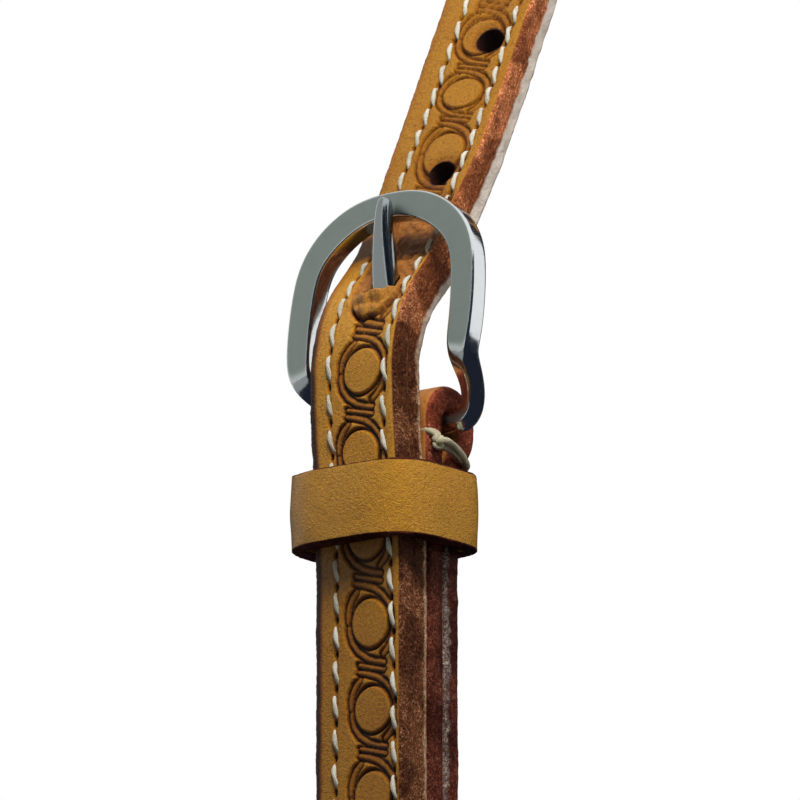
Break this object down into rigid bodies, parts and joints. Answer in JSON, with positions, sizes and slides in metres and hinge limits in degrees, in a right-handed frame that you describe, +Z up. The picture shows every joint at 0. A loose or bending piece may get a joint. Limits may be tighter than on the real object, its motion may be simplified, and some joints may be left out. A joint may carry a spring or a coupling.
{
  "type": "browband headstall",
  "caption": "Stitched, stamped leather headstall: a crown buckled to a cheek strap on each side, a browband looped on the crown, and screwed loops for the bit.",
  "frame": {"origin": "middle of the crown's underside, where it rests on the poll", "axes": "+Z up, the horse faces -Y, +X to the horse's near (left) side"},
  "size_m": [0.2388, 0.1416, 0.4657],
  "materials": {
    "face_leather": "golden tan grain, semi-gloss, stamped and stitched",
    "lining_leather": "reddish brown lining with a raw speckled edge",
    "cheek_leather": "golden tan grain, deep oxblood edge",
    "cheek_lining_leather": "deep oxblood, matt",
    "keeper_leather": "plain golden grain, dark burnished edge",
    "buckle_steel": "matt flat face, polished rounded sides",
    "tongue_steel": "polished",
    "screw_steel": "polished heads",
    "lace_cord": "cream waxed cord"
  },
  "bodies": {
    "crown": {"crown_face": "face_leather", "crown_lining": "lining_leather", "near_buckle_frame": "buckle_steel", "off_buckle_frame": "buckle_steel"},
    "near_tongue": {"near_buckle_tongue": "tongue_steel"},
    "near_cheek": {"near_cheek_strap": "cheek_leather", "near_cheek_lining": "cheek_lining_leather", "near_turnback_lace": "lace_cord", "near_billet_tail_face": "face_leather", "near_billet_tail_lining": "lining_leather", "near_upper_screw_post": "screw_steel", "near_upper_screw": "screw_steel", "near_lower_screw_post": "screw_steel", "near_lower_screw": "screw_steel"},
    "near_keeper": {"near_keeper": "keeper_leather"},
    "off_tongue": {"off_buckle_tongue": "tongue_steel"},
    "off_cheek": {"off_cheek_strap": "cheek_leather", "off_cheek_lining": "cheek_lining_leather", "off_turnback_lace": "lace_cord", "off_billet_tail_face": "face_leather", "off_billet_tail_lining": "lining_leather", "off_upper_screw_post": "screw_steel", "off_upper_screw": "screw_steel", "off_lower_screw_post": "screw_steel", "off_lower_screw": "screw_steel"},
    "off_keeper": {"off_keeper": "keeper_leather"},
    "browband": {"browband_strap": "cheek_leather", "browband_lining": "lining_leather"}
  },
  "joints": [
    {"name": "near_cheek_swing", "type": "hinge", "parent": "crown", "child": "near_cheek", "pos_m": [0.105, 0, -0.235], "axis": [0, -1, 0], "range_deg": [-10, 10]},
    {"name": "off_cheek_swing", "type": "hinge", "parent": "crown", "child": "off_cheek", "pos_m": [-0.105, 0, -0.235], "axis": [0, 1, 0], "range_deg": [-10, 10]},
    {"name": "near_tongue_play", "type": "hinge", "parent": "crown", "child": "near_tongue", "pos_m": [0.105, 0, -0.235], "axis": [0, 1, 0], "range_deg": [0, 3]},
    {"name": "off_tongue_play", "type": "hinge", "parent": "crown", "child": "off_tongue", "pos_m": [-0.105, 0, -0.235], "axis": [0, -1, 0], "range_deg": [0, 3]},
    {"name": "near_keeper_slide", "type": "slide", "parent": "near_cheek", "child": "near_keeper", "axis": [0, 0, -1], "range_m": [0, 0.06]},
    {"name": "off_keeper_slide", "type": "slide", "parent": "off_cheek", "child": "off_keeper", "axis": [0, 0, -1], "range_m": [0, 0.06]},
    {"name": "browband_slide", "type": "slide", "parent": "crown", "child": "browband", "axis": [0, 0, 1], "range_m": [-0.015, 0.015]}
  ]
}
